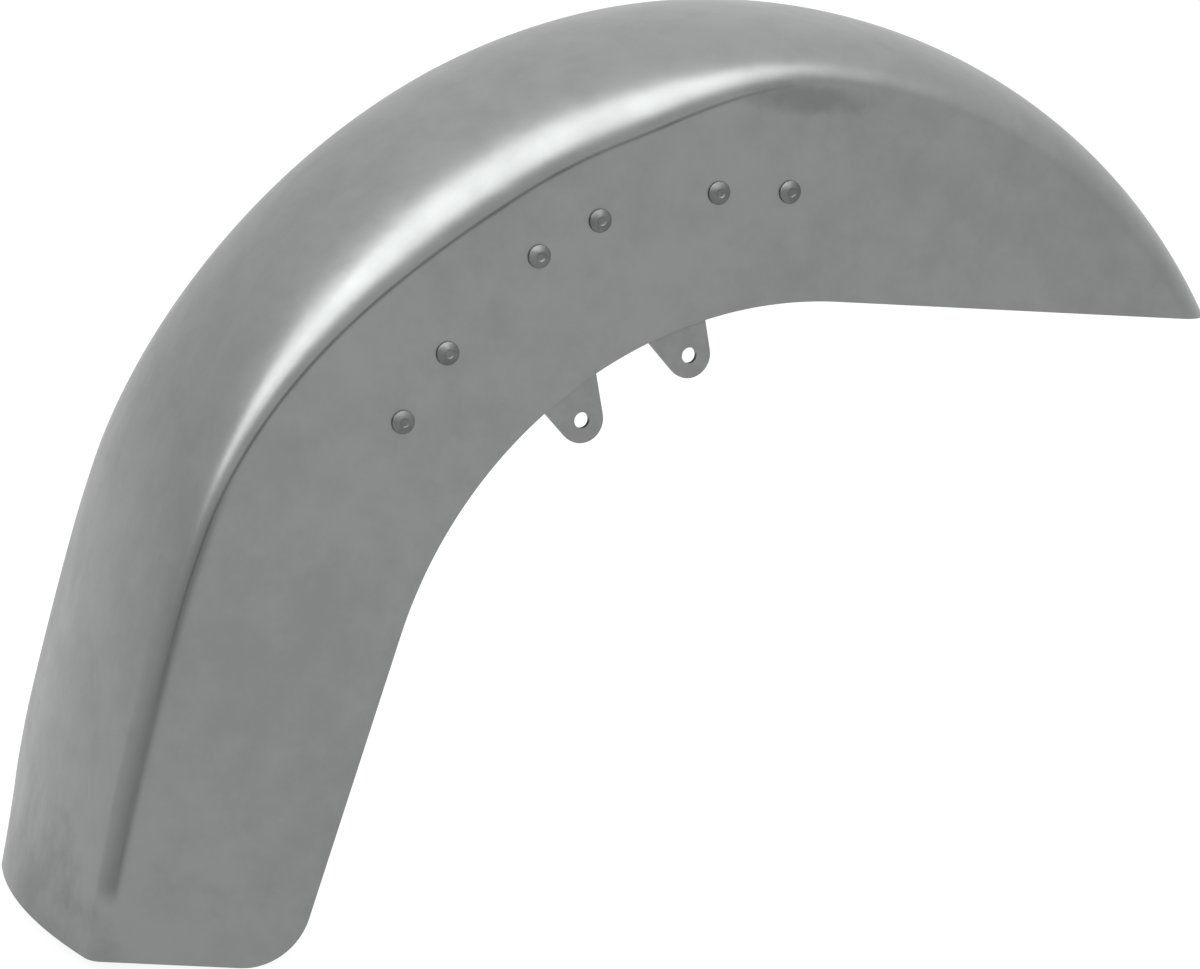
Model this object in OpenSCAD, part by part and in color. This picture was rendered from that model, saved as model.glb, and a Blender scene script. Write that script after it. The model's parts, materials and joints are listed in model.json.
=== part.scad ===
// Motorcycle front fender in bare pressed steel: one skin with a round crown and
// two flat skirts, an inner bracket riveted to each skirt, and the rivets.
//
// Millimetres. X points forward, Y to the rider's left, Z up. Every outline is
// drawn about the wheel axis, and the finished pieces are then moved so that the
// origin lies on the axis of the front tab holes, midway between the skirts.
//
// A place along the crown is a path angle: degrees about the wheel axis, counted
// from straight ahead over the top. Past tail_angle it goes on as the same length
// of metal on the flatter arc of the tail.

/* [Skin] */
// outer radius of the crown's middle line about the wheel axis
crown_radius = 352; // [345:1:365]
// half width across the flat outer faces of the skirts
skirt_half_width = 83; // [76:0.5:90]
// thickness of the pressed sheet
sheet = 1.6; // [1.2:0.1:2.5]
// path angle where the round crown turns into the flatter tail
tail_angle = 168.2; // [160:0.1:175]
// radius of the tail's slight curve
tail_radius = 2300; // [900:50:4000]

/* [Crown depth] */
// height of the crown above its crease, over the nose
nose_depth = 35; // [28:0.5:45]
// the same height behind the top of the arch, where it is greatest
arch_depth = 51.8; // [42:0.1:62]
// the same height down the tail
tail_depth = 18; // [17.5:0.1:26]
// path angles between which the nose deepens into the arch
deepen_angles = [88, 113.4];
// path angles between which the arch thins into the tail
thin_angles = [124.2, 177];

/* [Crown shape] */
// how far the shoulder stands out past the skirt
bulge_out = 4; // [2:0.5:9]
// height of the shoulder above the crease along the arch
bulge_rise = 6; // [4:0.5:12]
// the same height over the nose, where the crown rounds right down to the crease
nose_rise = 1.2; // [0.8:0.1:4]
// path angles over which the bulge runs out toward the nose
bulge_front_angles = [86, 108];
// length of tail, above its lower edge, that has no bulge
bulge_tail_gap = 38; // [20:1:80]
// length over which the bulge fades out above that
bulge_tail_fade = 14; // [10:1:60]
// camber of the tail's broad back face over its whole width, at its lower edge
tail_camber = 12; // [6:0.5:12.5]
// how much flatter that face is where the bulge runs beside it
camber_relief = 5; // [0:0.5:6]
// radius of the tail's corners
tail_round = 7; // [4:0.5:8]
// path angles over which the oval crown squares up into the tail
square_angles = [160, 194];

/* [Lower outline] */
// height of the nose's level lower edge above the wheel axis
nose_edge_height = 200.7; // [190:0.1:215]
// radius of the wheel arch cut in the skirts
arch_edge_radius = 241.8; // [225:0.1:260]
// lean of the tail's front edge, its foot to the rear
tail_front_lean = 12.9; // [8:0.1:20]
// distance of that edge behind the wheel axis, level with it
tail_front_setback = 217.7; // [205:0.1:230]
// height of the tail's lower edge at its rear corner
tail_edge_height = -162.8; // [-185:0.1:-140]
// distance of that corner behind the wheel axis
tail_edge_setback = 364; // [350:1:380]
// fall of the lower edge from the rear corner forward, in degrees
tail_edge_fall = 5; // [0:0.5:8]
// radius of the tail's lower front corner
tail_corner_radius = 34; // [15:1:45]

/* [Bracket] */
// direction from the wheel axis to the middle of a bracket
bracket_angle = 122.2; // [115:0.1:130]
// thickness of the bracket plate
bracket_plate = 2.5; // [2:0.1:4]
// width of metal beside the rivets, from their line to the plate's edge
rivet_margin = 15; // [11:0.5:18]
// how far the plate's edge between the tabs lies up behind the skirt's edge
web_cover = 12.2; // [6:0.5:18]

/* [Tabs] */
// distance from the skirt's edge in to the line through the tab holes
hole_drop = 19.7; // [16:0.1:26]
// distance between the two tab holes
hole_pitch = 69.8; // [60:0.1:80]
// diameter of the tab holes
tab_hole = 8.7; // [7:0.1:10.5]
// radius of the tab ends
tab_radius = 12.5; // [10:0.5:15]
// angle by which each side of a tab flares from its middle line
tab_flare = 15.2; // [5:0.1:20]

/* [Rivets] */
// distance of the middle pair below the crease
middle_drop = 31.7; // [24:0.1:40]
// distance between the rivets of the middle pair
middle_pitch = 38.5; // [30:0.5:45]
// distance of an end pair's middle below the level of the middle pair
end_drop = 30.5; // [24:0.5:36]
// distance of an end pair's middle from the bracket's middle line
end_offset = 105; // [98:0.5:112]
// distance between the rivets of an end pair
end_pitch = 42.5; // [30:0.5:48]
// slope of an end pair against the middle pair
end_slope = 28.3; // [20:0.1:35]
// diameter of the rivet shanks
shank = 6.4; // [5:0.1:8]
// clearance all round a shank in its holes
shank_gap = 0.05; // [0.02:0.01:0.2]
// diameter of the outer heads
head = 13; // [11:0.1:16]
// height of an outer head at the flat in its middle
head_height = 2.6; // [1.5:0.1:4]
// height of the short wall round an outer head
head_wall = 0.6; // [0.3:0.1:1]
// how far the dome is cut back to leave that flat
head_flat_cut = 0.25; // [0.1:0.05:0.6]
// diameter of the upset inner heads
upset = 10; // [8:0.1:13]
// height of the upset inner heads
upset_height = 1.8; // [1:0.1:3]

/* [Detail] */
// sections over the nose
nose_steps = 9; // [5:1:20]
// sections over the arch
arch_steps = 21; // [10:1:40]
// sections down the tail
tail_steps = 12; // [6:1:24]
// sections round the tail's lower front corner
corner_steps = 4; // [3:1:10]
// sections along the tail's lower edge
foot_steps = 2; // [1:1:6]
// strips from the crown's middle to its shoulder
crown_strips = 10; // [6:1:20]
// strips from the shoulder to the crease
bulge_strips = 4; // [3:1:10]

/* [Hidden] */
$fn = 48;
skin_steel = [0.56, 0.57, 0.57];
bracket_steel = [0.50, 0.51, 0.51];
rivet_steel = [0.40, 0.41, 0.41];
SIDES = ["right", "left"];
rivet_count = 6;

// plane geometry

function unit(a) = [cos(a), sin(a)];
function mix(a, b, t) = a + (b - a) * t;
function ease(t) = (1 - cos(180 * min(1, max(0, t)))) / 2;
function eased(p, span) = ease((p - span[0]) / (span[1] - span[0]));
function arc(centre, r, from, to, steps) =
    [for (k = [0:steps]) centre + r * unit(mix(from, to, k / steps))];

// the path along the crown

tail_centre = (crown_radius - tail_radius) * unit(tail_angle);
degree = crown_radius * PI / 180;
function in_tail(p) = p > tail_angle;
// the point at path angle p, at r from the wheel axis, seen from the side
function side_point(p, r) =
    in_tail(p) ? tail_centre + (r + tail_radius - crown_radius)
                               * unit(tail_angle + (p - tail_angle) * crown_radius / tail_radius)
               : r * unit(p);

// path angles where a line at r from the wheel axis meets the two lower edges
function nose_cut(r) = asin(nose_edge_height / r);
tail_edge_corner = [-tail_edge_setback, tail_edge_height];
tail_edge_normal = unit(90 - tail_edge_fall);
function tail_cut(r) =
    let (height = (tail_edge_corner - tail_centre) * tail_edge_normal,
         turn = 180 - tail_edge_fall - asin(height / (r + tail_radius - crown_radius)))
    tail_angle + (turn - tail_angle) * tail_radius / crown_radius;

// the section across the crown

nose_start = nose_cut(crown_radius);
tail_end = tail_cut(crown_radius);
bulge_tail_end = tail_end - bulge_tail_gap / degree;
bulge_tail_angles = [bulge_tail_end - bulge_tail_fade / degree, bulge_tail_end];
function crown_depth(p) =
    nose_depth + (arch_depth - nose_depth) * eased(p, deepen_angles)
    + (tail_depth - arch_depth) * eased(p, thin_angles);
// how much of the bulge there is, from 0 to 1
function swell(p) = eased(p, bulge_front_angles) * (1 - eased(p, bulge_tail_angles));
function shoulder_half(p) = skirt_half_width + bulge_out * swell(p);
// the crease is crisp along the arch and soft down the tail
function softness(p) = 1.15 + 0.85 * eased(p, thin_angles);
corner_share = 0.4;
// half sections as [out from the middle, below the top], t from 0 at the middle
// to 1 at the shoulder: an oval for the nose and arch, a cambered face for the tail
function oval(w, drop, t) = [w * sin(90 * t), drop * (1 - cos(90 * t))];
function camber_radius(w, camber) = (w * w + camber * camber) / (2 * camber);
function camber_drop(w, face) =
    face - sqrt(pow(face - tail_round, 2) - pow(w - tail_round, 2));
function cambered(w, face, t) =
    let (drop = camber_drop(w, face), flat = 1 - corner_share,
         turn = atan2(w - tail_round, face - drop), a = mix(turn, 90, (t - flat) / corner_share))
    t < flat ? face * [sin(turn * t / flat), 1 - cos(turn * t / flat)]
             : [w - tail_round, drop] + tail_round * [sin(a), -cos(a)];
// outer face of a half section as [out from the middle, above the crease]:
// t is 0 at the middle, 1 at the shoulder, 2 at the crease, more on the skirt
function section(p, t) =
    let (w = shoulder_half(p), depth = crown_depth(p), square = eased(p, square_angles),
         oval_drop = depth - mix(nose_rise, bulge_rise, eased(p, bulge_front_angles)),
         face = camber_radius(w, tail_camber - camber_relief * swell(p)),
         drop = mix(oval_drop, camber_drop(w, face), square),
         top = mix(oval(w, oval_drop, t), cambered(w, face, t), square))
    t <= 1 ? [top[0], depth - top[1]] :
    t < 2 ? [skirt_half_width + (w - skirt_half_width) * pow(cos(90 * (t - 1)), softness(p)),
             (depth - drop) * (2 - t)] :
    [skirt_half_width, (depth - drop) * (2 - t)];
function section_normal(p, t) =
    let (step = 0.01, d = section(p, t + step) - section(p, t - step))
    t <= 0 ? [0, 1] : t >= 2 ? [1, 0] : [-d[1], d[0]] / norm(d);
// a point of the half section, depth_in below the outer face, as [out, radius]
function skin_section(p, t, depth_in) =
    [0, crown_radius - crown_depth(p)] + section(p, t) - depth_in * section_normal(p, t);

// the skirt's lower outline, seen from the side

front_normal = unit(-tail_front_lean);
arch_centre_height = nose_edge_height - arch_edge_radius;
arch_centre = [(arch_edge_radius - arch_centre_height * front_normal[1]) / front_normal[0]
               - tail_front_setback, arch_centre_height];
// centre of the corner arc: its distance from the front edge and the lower edge
corner_from_front = -tail_corner_radius - tail_front_setback * front_normal[0];
corner_from_foot = tail_corner_radius + tail_edge_corner * tail_edge_normal;
corner_centre =
    [corner_from_front * tail_edge_normal[1] - corner_from_foot * front_normal[1],
     corner_from_foot * front_normal[0] - corner_from_front * tail_edge_normal[0]]
    / (front_normal[0] * tail_edge_normal[1] - front_normal[1] * tail_edge_normal[0]);
function crease_cut_nose() =
    let (r = crown_radius - nose_depth) side_point(nose_cut(r), r);
function crease_cut_tail() =
    let (r = crown_radius - tail_depth) side_point(tail_cut(r), r);

// one point of the outline for each section, from the nose to the foot
arch_top = arch_centre + [0, arch_edge_radius];
arch_foot = arch_centre - arch_edge_radius * front_normal;
corner_top = corner_centre + tail_corner_radius * front_normal;
corner_foot = corner_centre - tail_corner_radius * tail_edge_normal;
skirt_edge = concat(
    [for (k = [1:nose_steps]) mix(crease_cut_nose(), arch_top, k / (nose_steps + 1))],
    arc(arch_centre, arch_edge_radius, 90, 180 - tail_front_lean, arch_steps),
    [for (k = [1:tail_steps]) mix(arch_foot, corner_top, k / tail_steps)],
    [for (k = [1:corner_steps])
        corner_centre + tail_corner_radius
                        * unit(mix(-tail_front_lean, -90 - tail_edge_fall, k / corner_steps))],
    [for (k = [1:foot_steps]) mix(corner_foot, crease_cut_tail(), k / (foot_steps + 1))]);

// the skin as two grids of points, the outer face and the inner one

stations = len(skirt_edge);
arch_from = 80;
arch_to = 172;
tail_to = bulge_tail_angles[0];
low_steps = corner_steps + foot_steps;
columns = crown_strips + bulge_strips + 1;
function column_place(c) = c <= crown_strips ? c / crown_strips : 1 + (c - crown_strips) / bulge_strips;
function station_angle(i, t, depth_in) =
    i < nose_steps
        ? mix(nose_cut(skin_section(nose_start, t, depth_in)[1]), arch_from, i / nose_steps) :
    i < nose_steps + arch_steps
        ? mix(arch_from, arch_to, (i - nose_steps) / arch_steps) :
    i < nose_steps + arch_steps + tail_steps
        ? mix(arch_to, tail_to, (i - nose_steps - arch_steps) / tail_steps)
        : mix(tail_to, tail_cut(skin_section(tail_end, t, depth_in)[1]),
              (i - nose_steps - arch_steps - tail_steps) / low_steps);
function skin_point(i, c, depth_in) =
    let (side = sign(c), t = column_place(abs(c)), p = station_angle(i, t, depth_in),
         s = skin_section(p, t, depth_in), q = side_point(p, s[1]))
    abs(c) == columns ? [skirt_edge[i][0], side * (skirt_half_width - depth_in), skirt_edge[i][1]]
                      : [q[0], side * s[0], q[1]];
row = 2 * columns + 1;
skin_points = [for (depth_in = [0, sheet], i = [0:stations - 1], c = [-columns:columns])
                   skin_point(i, c, depth_in)];
function at(layer, i, c) = (layer * stations + i) * row + c;
// The four corners as two triangles. The cut between them is mirrored from side to
// side, and turned over halfway along, so that no triangle at either end is flat.
function patch(a, b, c, d, turned = false) =
    turned ? [[a, b, d], [b, c, d]] : [[a, b, c], [a, c, d]];
function turned(i, c) = (c < columns) != (i < stations / 2);
skin_faces = [
    for (i = [0:stations - 2], c = [0:row - 2])
        each patch(at(0, i, c), at(0, i, c + 1), at(0, i + 1, c + 1), at(0, i + 1, c), turned(i, c)),
    for (i = [0:stations - 2], c = [0:row - 2])
        each patch(at(1, i, c), at(1, i + 1, c), at(1, i + 1, c + 1), at(1, i, c + 1), turned(i, c)),
    for (i = [0:stations - 2])
        each patch(at(0, i, 0), at(0, i + 1, 0), at(1, i + 1, 0), at(1, i, 0)),
    for (i = [0:stations - 2])
        each patch(at(0, i, row - 1), at(1, i, row - 1), at(1, i + 1, row - 1), at(0, i + 1, row - 1)),
    for (c = [0:row - 2]) each patch(at(0, 0, c), at(1, 0, c), at(1, 0, c + 1), at(0, 0, c + 1)),
    for (c = [0:row - 2])
        each patch(at(0, stations - 1, c), at(0, stations - 1, c + 1),
                   at(1, stations - 1, c + 1), at(1, stations - 1, c))];

// the bracket, drawn in its own plane: [along bracket_angle, across it to the rear]

function from_bracket(q) = q[0] * unit(bracket_angle) + q[1] * unit(bracket_angle + 90);
function flip(q) = [q[0], -q[1]];
// the wheel arch's edge and the crease, on the bracket's middle line
arch_reach = let (along = arch_centre * unit(bracket_angle))
    along + sqrt(along * along - arch_centre * arch_centre + arch_edge_radius * arch_edge_radius);
crease_reach = crown_radius - arch_depth;
middle_rivet = [crease_reach - middle_drop, middle_pitch / 2];
end_reach = middle_rivet[0] - end_drop;
end_step = end_pitch / 2 * unit(90 + end_slope);
near_rivet = [end_reach, end_offset] - end_step;
far_rivet = [end_reach, end_offset] + end_step;
// from front to rear
rivet_spots = [flip(far_rivet), flip(near_rivet), flip(middle_rivet),
               middle_rivet, near_rivet, far_rivet];
rear_hole = [arch_reach - hole_drop, hole_pitch / 2];
web_radius = arch_reach + web_cover;
front_hole = from_bracket(flip(rear_hole));

// where the line from p at angle a crosses the line from q at angle b
function meet(p, a, q, b) =
    let (d = q - p) p + unit(a) * (d[0] * sin(b) - d[1] * cos(b)) / sin(b - a);
// the point at r from the wheel axis, on the line from p at angle a
function reach(p, a, r) =
    let (along = p * unit(a)) p + (sqrt(along * along - p * p + r * r) - along) * unit(a);
// the rear half of the outline, from the middle line round the rivets to the tab
strap = near_rivet - middle_rivet;
strap_normal = atan2(strap[1], strap[0]) - 90;
tab_side = 90 + tab_flare;
valley = reach(rear_hole + tab_radius * unit(-tab_side), -tab_flare, web_radius);
half_outline = concat(
    arc(middle_rivet, rivet_margin, 0, strap_normal, 3),
    arc(near_rivet, rivet_margin, strap_normal, end_slope, 2),
    arc(far_rivet, rivet_margin, end_slope, end_slope + 180, 14),
    [near_rivet - rivet_margin / cos((end_slope - strap_normal) / 2)
                  * unit((end_slope + strap_normal) / 2),
     meet(rear_hole + tab_radius * unit(tab_side), tab_flare,
          middle_rivet - rivet_margin * unit(strap_normal), strap_normal + 90)],
    arc(rear_hole, tab_radius, tab_side, 360 - tab_side, 14),
    arc([0, 0], web_radius, atan2(valley[1], valley[0]), 0, 4));
half_count = len(half_outline);
bracket_outline = concat(half_outline,
                         [for (k = [half_count - 2:-1:1]) flip(half_outline[k])]);

// the pieces, first as they lie on the right side

module fender_skin() {
    color(skin_steel)
    difference() {
        polyhedron(skin_points, skin_faces, convexity = 8);
        for (spot = rivet_spots)
            translate([from_bracket(spot)[0], 0, from_bracket(spot)[1]])
            rotate([90, 0, 0])
            cylinder(d = shank + 2 * shank_gap, h = 3 * skirt_half_width, center = true);
    }
}

module bracket() {
    color(bracket_steel)
    translate([0, -skirt_half_width + sheet + bracket_plate, 0])
    rotate([90, 0, 0])
    rotate(bracket_angle)
    linear_extrude(bracket_plate)
    difference() {
        polygon(bracket_outline);
        for (spot = rivet_spots) translate(spot) circle(d = shank + 2 * shank_gap);
        for (hole = [rear_hole, flip(rear_hole)]) translate(hole) circle(d = tab_hole);
    }
}

// a low dome with a flat on top and a short wall round its foot
module rivet_head(width, height, wall, cut) {
    rise = height + cut - wall;
    dome = (width * width / 4 + rise * rise) / (2 * rise);
    intersection() {
        translate([0, 0, height + cut - dome]) sphere(dome);
        cylinder(d = width, h = height);
    }
}

module rivet(spot) {
    grip = sheet + bracket_plate;
    color(rivet_steel)
    translate([from_bracket(spot)[0], -skirt_half_width, from_bracket(spot)[1]])
    rotate([90, 0, 0]) {
        rivet_head(head, head_height, head_wall, head_flat_cut);
        translate([0, 0, -grip - upset_height / 2])
            cylinder(d = shank, h = grip + upset_height / 2 + head_height / 2);
        translate([0, 0, -grip])
            mirror([0, 0, 1]) rivet_head(upset, upset_height, head_wall, head_flat_cut);
    }
}

module on_side(side) {
    if (side == "left") mirror([0, 1, 0]) children();
    else children();
}

module in_row_frame() translate([-front_hole[0], 0, -front_hole[1]]) children();

in_row_frame() fender_skin();
for (side = SIDES)
    in_row_frame() on_side(side) bracket();
for (side = SIDES, n = [1:rivet_count])
    in_row_frame() on_side(side) rivet(rivet_spots[n - 1]);
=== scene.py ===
"""Looks of a bare-steel motorcycle front fender.

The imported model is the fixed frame. The pressed skin and the rivets are replaced
by finer surfaces worked out from the same sizes as the part's source; the two
bracket plates are carried over as they are and only get their finish. All lengths
in the classes are in millimetres about the wheel axis, and `Place` turns them into
the frame's metres.
"""

from __future__ import annotations

import json
import logging
import math
from collections.abc import Callable
from dataclasses import dataclass, field
from enum import Enum

import bpy
import numpy as np
from mathutils import Matrix, Vector

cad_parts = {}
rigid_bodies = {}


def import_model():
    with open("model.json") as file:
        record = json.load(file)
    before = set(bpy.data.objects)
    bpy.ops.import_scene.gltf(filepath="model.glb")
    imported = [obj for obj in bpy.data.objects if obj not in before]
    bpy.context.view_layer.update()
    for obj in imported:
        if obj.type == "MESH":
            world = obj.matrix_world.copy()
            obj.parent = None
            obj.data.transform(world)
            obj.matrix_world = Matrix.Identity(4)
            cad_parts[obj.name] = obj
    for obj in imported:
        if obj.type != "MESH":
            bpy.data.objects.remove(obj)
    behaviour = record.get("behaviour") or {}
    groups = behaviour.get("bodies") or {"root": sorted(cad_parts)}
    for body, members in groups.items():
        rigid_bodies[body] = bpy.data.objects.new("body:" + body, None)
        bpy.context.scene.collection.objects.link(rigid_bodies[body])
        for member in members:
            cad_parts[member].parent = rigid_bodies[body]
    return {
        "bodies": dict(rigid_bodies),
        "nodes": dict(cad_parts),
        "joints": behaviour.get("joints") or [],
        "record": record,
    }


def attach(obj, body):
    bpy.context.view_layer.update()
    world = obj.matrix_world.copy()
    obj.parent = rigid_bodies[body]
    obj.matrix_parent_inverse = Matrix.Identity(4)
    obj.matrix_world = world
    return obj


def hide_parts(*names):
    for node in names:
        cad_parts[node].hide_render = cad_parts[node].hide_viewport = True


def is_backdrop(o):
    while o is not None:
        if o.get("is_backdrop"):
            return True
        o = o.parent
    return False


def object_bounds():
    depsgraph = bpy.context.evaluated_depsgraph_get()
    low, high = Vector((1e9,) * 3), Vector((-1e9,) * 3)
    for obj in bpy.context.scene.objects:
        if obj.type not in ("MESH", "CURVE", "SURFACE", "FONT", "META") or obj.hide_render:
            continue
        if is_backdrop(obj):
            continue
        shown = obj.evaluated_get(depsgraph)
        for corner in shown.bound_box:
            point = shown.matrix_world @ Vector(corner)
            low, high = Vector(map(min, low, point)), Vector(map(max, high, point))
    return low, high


LOG = logging.getLogger("fender")
MM = 0.001


class Side(Enum):
    """The two sides of the fender, with the sign of their Y."""

    RIGHT = -1
    LEFT = 1


# ---------------------------------------------------------------- small maths


def unit(angle: float | np.ndarray) -> np.ndarray:
    """Unit vector at an angle in degrees, on the last axis."""
    turn = np.radians(angle)
    return np.stack([np.cos(turn), np.sin(turn)], axis=-1)


def mix(a: float | np.ndarray, b: float | np.ndarray, t: float | np.ndarray) -> np.ndarray:
    """The value a share t of the way from a to b."""
    return a + (b - a) * t


def eased(p: np.ndarray, span: tuple[float, float]) -> np.ndarray:
    """Half a cosine wave from 0 to 1 as p crosses span, flat outside it."""
    t = np.clip((p - span[0]) / (span[1] - span[0]), 0.0, 1.0)
    return (1.0 - np.cos(np.pi * t)) / 2.0


def linear(code: str) -> tuple[float, float, float, float]:
    """A linear colour from an sRGB hex code.

    Args:
        code: Six hex digits, with or without a leading hash.

    Returns:
        Red, green, blue and a full alpha.
    """
    digits = code.lstrip("#")
    part = np.array([int(digits[k : k + 2], 16) for k in (0, 2, 4)]) / 255.0
    low, high = part / 12.92, ((part + 0.055) / 1.055) ** 2.4
    rgb = np.where(part <= 0.04045, low, high)
    return float(rgb[0]), float(rgb[1]), float(rgb[2]), 1.0


def add_node(
    tree: bpy.types.NodeTree,
    kind: str,
    settings: dict[str, object] | None = None,
    values: dict[str | int, object] | None = None,
    links: dict[str | int, bpy.types.NodeSocket] | None = None,
) -> bpy.types.Node:
    """Adds a node, sets it up and links its inputs.

    Args:
        tree: The node tree.
        kind: The node's type name.
        settings: Properties of the node itself.
        values: Default values of its inputs, by name or number.
        links: Output sockets that feed its inputs, by name or number.

    Returns:
        The node.
    """
    node = tree.nodes.new(kind)
    for name, value in (settings or {}).items():
        setattr(node, name, value)
    for name, value in (values or {}).items():
        node.inputs[name].default_value = value
    for name, socket in (links or {}).items():
        tree.links.new(socket, node.inputs[name])
    return node


# ------------------------------------------------------------------- finishes

# a noise texture's scale times the size of its blobs
BLOB_SCALE = 0.6
# the span in which nearly all of a noise texture's values lie
NOISE_SPAN = (0.3, 0.7)
# how much the clouds and the mottling count in the metal's tone
CLOUD_WEIGHT, MOTTLE_WEIGHT = 0.45, 0.55
# the span of that sum over which the tone goes from dark to light
TONE_SPAN = (0.36, 0.64)
# the least share of the valley's painted shade, and what the mottling adds to it
VALLEY_LEAST, VALLEY_BROKEN = 0.65, 0.7
# how far the mottling frays a dark patch's rim, and the span over which it fades
DARK_PATCH_FRAY = 0.8
DARK_PATCH_FADE = (0.7, 1.5)

Maths = Callable[[str, object, object], bpy.types.NodeSocket]


@dataclass(frozen=True)
class DarkPatch:
    """A soft-edged darker place painted into a sheet's colour; on the skin it gives painted shade
    under the bulge's front end and a darker place low on the tail.

    Attributes:
        centre: Its middle in the frame, mm.
        radii: Its half sizes along X, Y and Z, mm.
        depth: How much of the metal's brightness it takes at its middle.
    """

    centre: tuple[float, float, float]
    radii: tuple[float, float, float]
    depth: float


@dataclass(frozen=True)
class BareSteel:
    """Bare cold-rolled low-carbon steel, satin from the press and the oil rag.

    The eye gets a neutral grey metal with broad cloudy patches, fine mottling,
    a faint draw grain and a highlight whose edge is slightly ragged.

    Attributes:
        name: The material's name.
        light: Paler tone of the metal, sRGB hex.
        dark: Darker tone, sRGB hex.
        roughness: Mean roughness.
        roughness_swing: How far the roughness wanders either way.
        cloud: Size of the broad patches, mm.
        mottle: Size of the fine mottling, mm.
        ripple: Size of the waves the press and the hammer left, mm.
        ripple_height: Height of those waves, mm.
        grain: Spacing of the fine surface grain, mm; drawn coarser than the
            real 0.05 mm so that it shows.
        grain_height: Height of that grain, mm.
        dark_patches: Darker places painted into the colour, painted shade among them.
        valley_painted_shade: How much painted shade darkens the metal in the valley along the
            crease.
    """

    name: str
    light: str
    dark: str
    roughness: float
    roughness_swing: float
    cloud: float
    mottle: float
    ripple: float
    ripple_height: float
    grain: float
    grain_height: float
    dark_patches: tuple[DarkPatch, ...] = ()
    valley_painted_shade: float = 0.0

    def material(self) -> bpy.types.Material:
        """Builds the node material.

        Returns:
            A metal whose tone, roughness and bump follow Object coordinates.
        """
        made = bpy.data.materials.new(self.name)
        made.use_nodes = True
        tree = made.node_tree
        tree.nodes.clear()
        place = add_node(tree, "ShaderNodeTexCoord").outputs["Object"]

        def noise(size: float, detail: float, rough: float, seed: float) -> bpy.types.NodeSocket:
            """Noise whose blobs are about size millimetres across."""
            moved = add_node(
                tree,
                "ShaderNodeMapping",
                values={"Location": (seed, 0.7 * seed, 1.3 * seed)},
                links={"Vector": place},
            )
            return add_node(
                tree,
                "ShaderNodeTexNoise",
                values={"Scale": BLOB_SCALE / (size * MM), "Detail": detail, "Roughness": rough},
                links={"Vector": moved.outputs[0]},
            ).outputs["Fac"]

        def maths(kind: str, a: object, b: object) -> bpy.types.NodeSocket:
            """One operation on two numbers or sockets."""
            numbers = {k: v for k, v in enumerate((a, b)) if isinstance(v, float)}
            sockets = {k: v for k, v in enumerate((a, b)) if not isinstance(v, float)}
            node = add_node(tree, "ShaderNodeMath", {"operation": kind}, numbers, sockets)
            return node.outputs[0]

        def darker(
            colour: bpy.types.NodeSocket, share: bpy.types.NodeSocket, depth: float
        ) -> bpy.types.NodeSocket:
            """The colour with up to depth of it taken away where share is 1."""
            return add_node(
                tree,
                "ShaderNodeMix",
                {"data_type": "RGBA", "blend_type": "MULTIPLY", "clamp_factor": True},
                {7: (1.0 - depth,) * 3 + (1.0,)},
                {0: share, 6: colour},
            ).outputs[2]

        clouds = noise(self.cloud, 3.0, 0.55, 1.0)
        mottling = noise(self.mottle, 4.0, 0.65, 5.0)
        tone = maths(
            "ADD",
            maths("MULTIPLY", clouds, CLOUD_WEIGHT),
            maths("MULTIPLY", mottling, MOTTLE_WEIGHT),
        )
        ramp = add_node(tree, "ShaderNodeValToRGB", links={"Fac": tone})
        ramp.color_ramp.interpolation = "EASE"
        for end, position, code in zip(
            ramp.color_ramp.elements, TONE_SPAN, (self.dark, self.light), strict=True
        ):
            end.position, end.color = position, linear(code)

        colour = ramp.outputs["Color"]
        # painted shade: the metal is darkened in the valley along the crease, broken up by the
        # mottling
        if self.valley_painted_shade:
            painted_shade = add_node(tree, "ShaderNodeAttribute", {"attribute_name": "valley"})
            patchy = maths("ADD", maths("MULTIPLY", mottling, VALLEY_BROKEN), VALLEY_LEAST)
            broken = maths("MULTIPLY", painted_shade.outputs["Fac"], patchy)
            colour = darker(colour, broken, self.valley_painted_shade)
        # darker places painted into the colour, painted shade under the bulge's front end among
        # them
        for dark_patch in self.dark_patches:
            colour = darker(colour, self._dark_patch_share(tree, place, mottling, dark_patch, maths), dark_patch.depth)

        wander = add_node(
            tree,
            "ShaderNodeMapRange",
            values={
                "From Min": NOISE_SPAN[0],
                "From Max": NOISE_SPAN[1],
                "To Min": self.roughness - self.roughness_swing,
                "To Max": self.roughness + self.roughness_swing,
            },
            links={"Value": noise(self.mottle * 1.7, 3.0, 0.6, 9.0)},
        )
        waves = add_node(
            tree,
            "ShaderNodeBump",
            values={"Strength": 1.0, "Distance": self.ripple_height * MM},
            links={"Height": noise(self.ripple, 2.0, 0.5, 13.0)},
        )
        grain = add_node(
            tree,
            "ShaderNodeBump",
            values={"Strength": 1.0, "Distance": self.grain_height * MM},
            links={
                "Height": noise(self.grain, 2.0, 0.6, 17.0),
                "Normal": waves.outputs[0],
            },
        )
        shader = add_node(
            tree,
            "ShaderNodeBsdfPrincipled",
            values={"Metallic": 1.0},
            links={
                "Base Color": colour,
                "Roughness": wander.outputs[0],
                "Normal": grain.outputs[0],
            },
        )
        add_node(tree, "ShaderNodeOutputMaterial", links={"Surface": shader.outputs[0]})
        return made

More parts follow.
